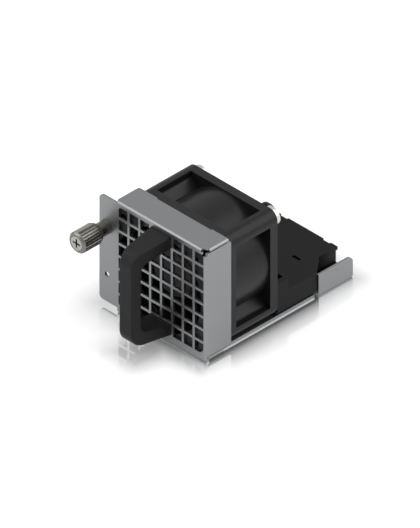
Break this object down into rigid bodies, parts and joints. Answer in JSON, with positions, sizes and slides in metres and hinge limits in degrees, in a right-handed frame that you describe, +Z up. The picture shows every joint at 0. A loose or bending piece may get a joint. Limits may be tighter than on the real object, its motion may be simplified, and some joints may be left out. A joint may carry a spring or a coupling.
{
  "type": "fan module",
  "caption": "Slide-in chassis fan module: bent sheet tray with grille, pull handle, captive thumbscrew, 40 mm fan and rear blind-mate plug.",
  "frame": {"origin": "middle of the module's box, on the underside of the tray", "axes": "+X across the front plate, +Y from the handle to the rear plug, +Z up from the tray"},
  "size_m": [0.0478, 0.0822, 0.0426],
  "materials": {
    "sheet_steel": "plain zinc-plated sheet, satin",
    "handle_plastic": "fine matt grain",
    "frame_plastic": "moulded, satin",
    "fan_plastic": "moulded, satin",
    "rotor_plastic": "moulded, satin",
    "housing_plastic": "fine matt grain",
    "socket_plastic": "moulded, satin",
    "plug_plastic": "natural moulded",
    "screw_steel": "bright plated",
    "thumbscrew_steel": "turned, nickel plated",
    "yoke_steel": "plain drawn steel",
    "bearing_steel": "ground",
    "core_steel": "varnished laminations",
    "brass": "turned",
    "copper": "enamelled wire",
    "magnet": "bonded ferrite",
    "circuit_board": "solder mask",
    "contact_metal": "gold plated",
    "lead_sleeve": "heat-shrink sleeve"
  },
  "bodies": {
    "chassis": {"bracket": "sheet_steel", "handle": "handle_plastic", "handle_screws": "screw_steel", "mounting_frame": "frame_plastic", "frame_nuts": "screw_steel", "fan_frame": "fan_plastic", "fan_screws": "screw_steel", "front_bearing": "bearing_steel", "rear_bearing": "bearing_steel", "bearing_tube": "brass", "stator_core": "core_steel", "stator_windings": "copper", "motor_board": "circuit_board", "fan_lead": "lead_sleeve", "lead_plug": "plug_plastic", "board_header": "plug_plastic", "adapter_board": "circuit_board", "board_screws": "screw_steel", "connector_housing": "housing_plastic", "housing_screws": "screw_steel", "blind_mate_plug": "socket_plastic", "contact_pins": "contact_metal", "thumbscrew_ferrule": "thumbscrew_steel"},
    "rotor": {"impeller": "rotor_plastic", "rotor_yoke": "yoke_steel", "rotor_magnet": "magnet", "motor_shaft": "yoke_steel", "shaft_clip": "rotor_plastic"},
    "thumbscrew_carrier": {"thumbscrew_spring": "screw_steel"},
    "thumbscrew": {"thumbscrew_knob": "thumbscrew_steel", "thumbscrew_shank": "thumbscrew_steel"}
  },
  "joints": [
    {"name": "rotor_spin", "type": "hinge", "parent": "chassis", "child": "rotor", "pos_m": [0.00235, -0.0199, 0.0209], "axis": [0, 1, 0], "continuous": true},
    {"name": "thumbscrew_push", "type": "slide", "parent": "chassis", "child": "thumbscrew_carrier", "axis": [0, 1, 0], "range_m": [0, 0.0042], "stiffness_N_per_m": 150, "springref_m": -0.003, "deforming": ["thumbscrew_spring"]},
    {"name": "thumbscrew_turn", "type": "hinge", "parent": "thumbscrew_carrier", "child": "thumbscrew", "pos_m": [-0.02035, -0.0253, 0.0308], "axis": [0, 1, 0], "continuous": true}
  ]
}
